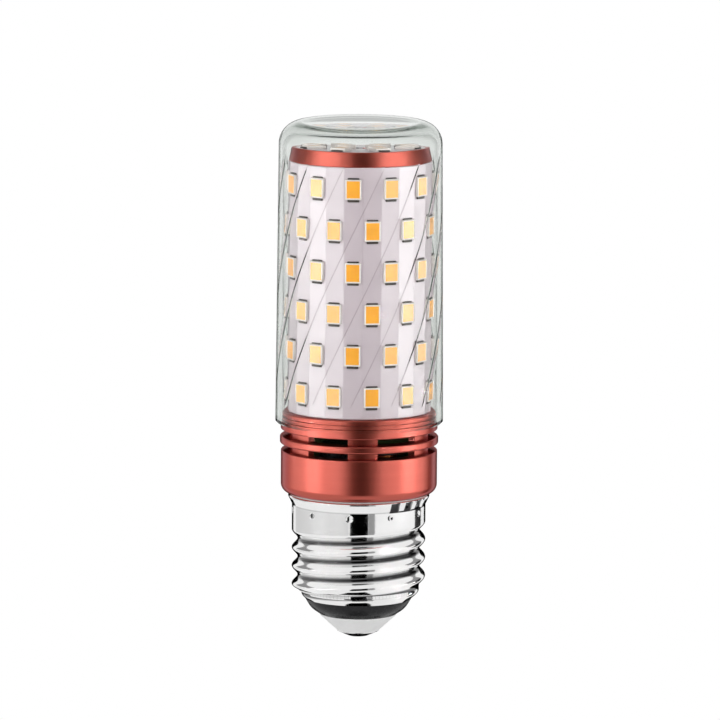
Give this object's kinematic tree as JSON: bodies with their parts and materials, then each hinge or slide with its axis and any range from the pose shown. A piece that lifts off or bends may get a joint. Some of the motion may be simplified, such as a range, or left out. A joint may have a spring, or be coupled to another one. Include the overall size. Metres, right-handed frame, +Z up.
{
  "type": "led light bulb",
  "caption": "Tall LED bulb with a screw cap: a tube of LEDs under a clear ribbed cover, on a vented metal collar that holds the driver.",
  "frame": {"origin": "centre of the flat tip of the centre contact, on the bulb's axis", "axes": "+Z up the bulb's axis from the cap to the cover's top; -Y is the side that the picture shows"},
  "size_m": [0.0328, 0.0328, 0.1016],
  "materials": {
    "clear_plastic": "clear",
    "rose_gold": "satin anodised",
    "nickel": "polished",
    "black_insulator": "gloss",
    "pale_insulator": "matte",
    "neck_plastic": "matte",
    "white_board": "satin",
    "led_body": "satin",
    "phosphor": "matte",
    "green_board": "satin",
    "capacitor_sleeve": "satin",
    "ferrite": "matte",
    "copper": "enamelled",
    "fuse_coat": "matte",
    "chip_body": "matte",
    "white_wire": "satin",
    "black_wire": "satin",
    "red_wire": "satin"
  },
  "bodies": {
    "root": {"clear_cover": "clear_plastic", "vent_collar": "rose_gold", "cap_shell": "nickel", "cap_insulator": "black_insulator", "contact_cone": "pale_insulator", "centre_contact": "nickel", "insulating_neck": "neck_plastic", "side_board": "white_board", "top_ring": "rose_gold", "top_board": "white_board", "driver_board": "green_board", "filter_capacitor": "capacitor_sleeve", "choke_core": "ferrite", "choke_winding": "copper", "fuse_resistor": "fuse_coat", "bridge_rectifier": "chip_body", "driver_chip": "chip_body", "live_wire": "white_wire", "neutral_wire": "black_wire", "red_feed_wires": "red_wire", "black_feed_wires": "black_wire", "led_row_1_packages": "led_body", "led_row_1_phosphor": "phosphor", "led_row_2_packages": "led_body", "led_row_2_phosphor": "phosphor", "led_row_3_packages": "led_body", "led_row_3_phosphor": "phosphor", "led_row_4_packages": "led_body", "led_row_4_phosphor": "phosphor", "led_row_5_packages": "led_body", "led_row_5_phosphor": "phosphor", "led_row_6_packages": "led_body", "led_row_6_phosphor": "phosphor", "top_inner_led_packages": "led_body", "top_inner_led_phosphor": "phosphor", "top_outer_led_packages": "led_body", "top_outer_led_phosphor": "phosphor"}
  },
  "joints": []
}
